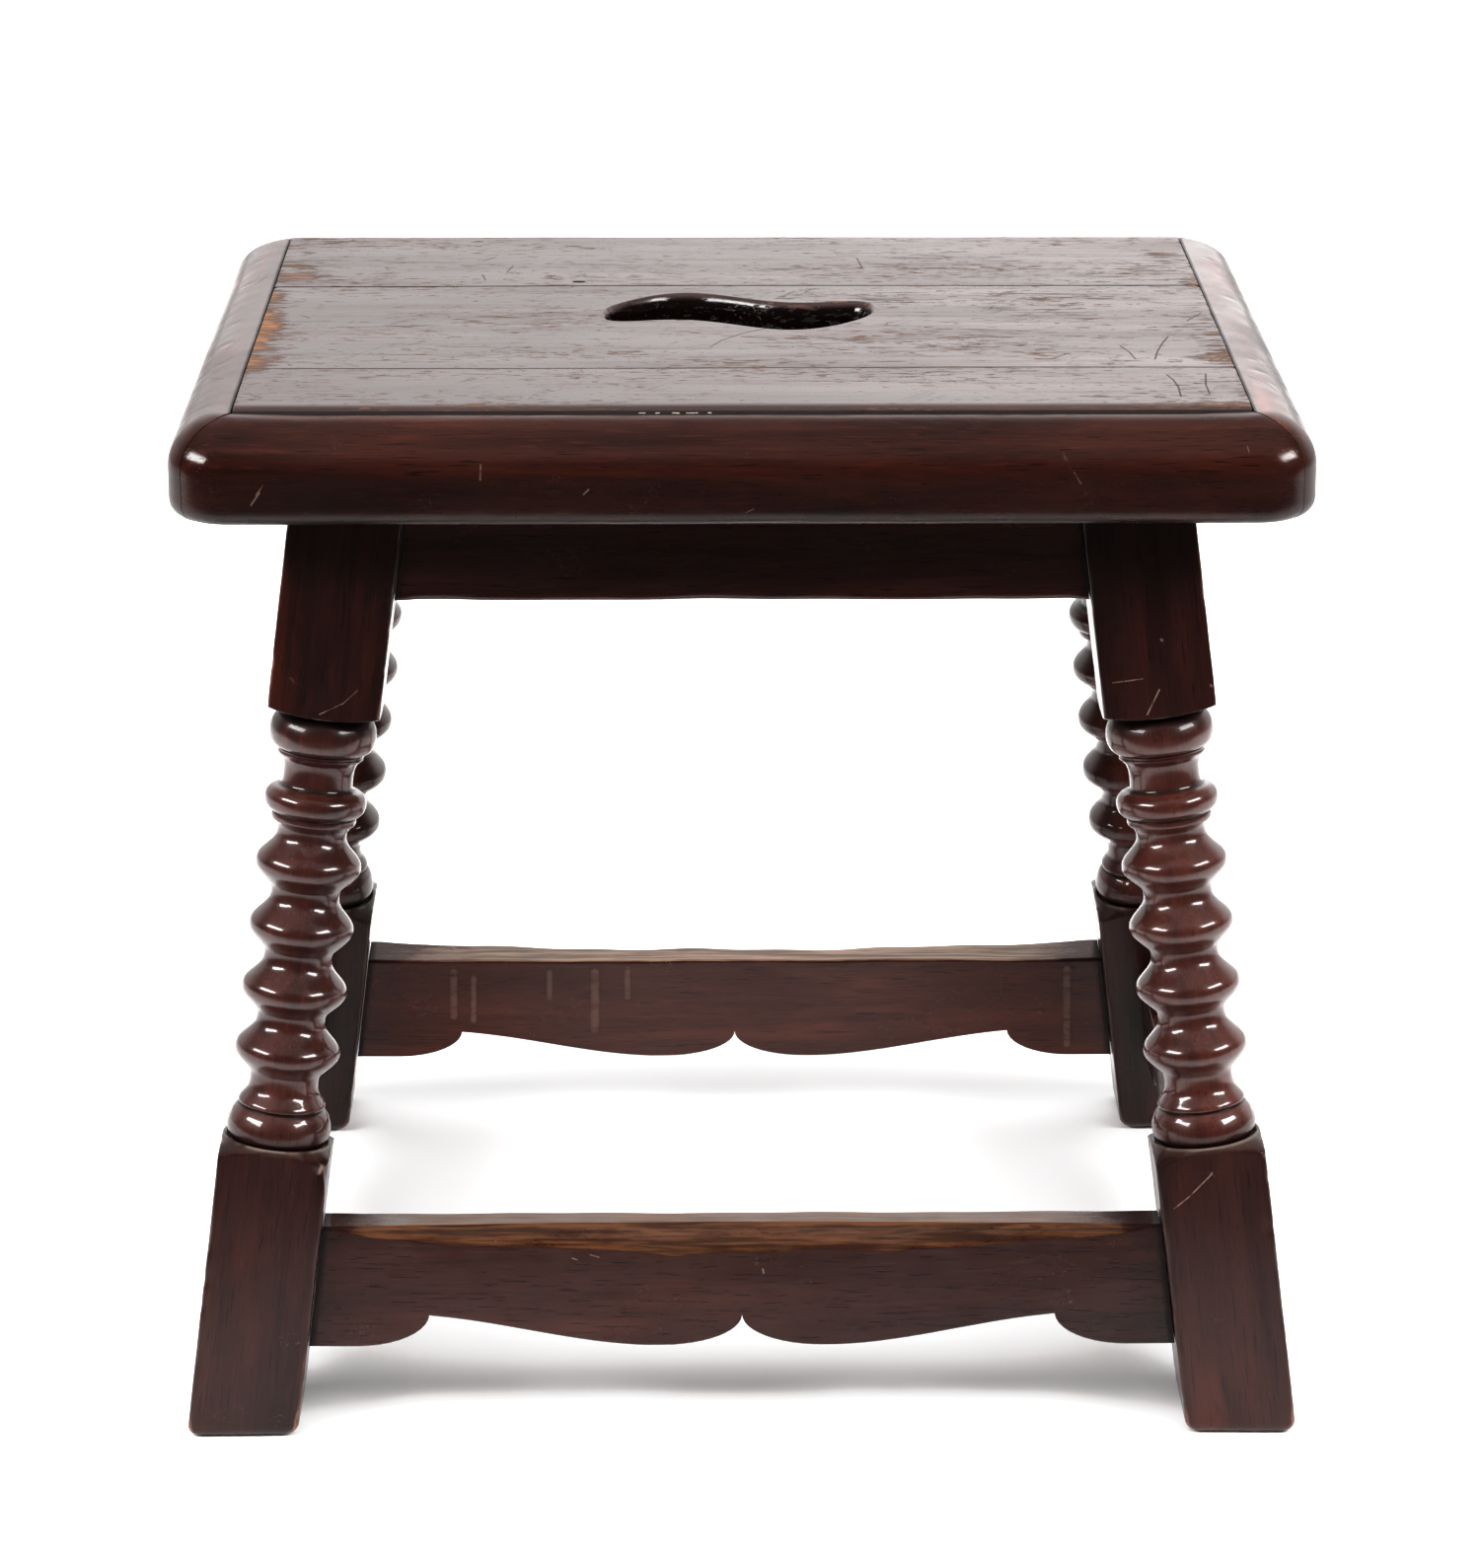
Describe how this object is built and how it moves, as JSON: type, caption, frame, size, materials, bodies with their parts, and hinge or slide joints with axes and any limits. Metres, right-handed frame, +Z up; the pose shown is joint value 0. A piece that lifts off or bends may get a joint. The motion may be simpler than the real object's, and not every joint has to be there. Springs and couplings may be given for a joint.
{
  "type": "joint stool",
  "caption": "Low oblong wooden stool with a boarded seat in a rounded edging, an S-shaped hand hole, splayed bobbin-turned legs, plain aprons and scalloped stretchers.",
  "frame": {"origin": "floor level, under the middle of the seat", "axes": "+X along the seat's long side to the right, +Y from the front to the back, +Z up"},
  "size_m": [0.4582, 0.3708, 0.43],
  "materials": {
    "seat_board_wood": "dark stained, polished and worn",
    "edging_wood": "dark stained, glossy polish",
    "leg_wood": "dark stained, glossy polish",
    "rail_wood": "dark stained, worn polish",
    "tongue_wood": "bare",
    "screw_steel": "dull, aged"
  },
  "bodies": {
    "root": {"leg_front_left": "leg_wood", "leg_front_right": "leg_wood", "leg_back_left": "leg_wood", "leg_back_right": "leg_wood", "seat_board_front": "seat_board_wood", "seat_board_middle": "seat_board_wood", "seat_board_back": "seat_board_wood", "seat_edging_front": "edging_wood", "seat_edging_back": "edging_wood", "seat_edging_left": "edging_wood", "seat_edging_right": "edging_wood", "edging_tongue_front": "tongue_wood", "edging_tongue_back": "tongue_wood", "edging_tongue_left": "tongue_wood", "edging_tongue_right": "tongue_wood", "board_tongue_front": "tongue_wood", "board_tongue_back": "tongue_wood", "apron_front": "rail_wood", "apron_back": "rail_wood", "apron_left": "rail_wood", "apron_right": "rail_wood", "stretcher_front": "rail_wood", "stretcher_back": "rail_wood", "stretcher_left": "rail_wood", "stretcher_right": "rail_wood", "seat_screw_front_left": "screw_steel", "seat_screw_front_right": "screw_steel", "seat_screw_back_left": "screw_steel", "seat_screw_back_right": "screw_steel", "seat_screw_left": "screw_steel", "seat_screw_right": "screw_steel"}
  },
  "joints": []
}
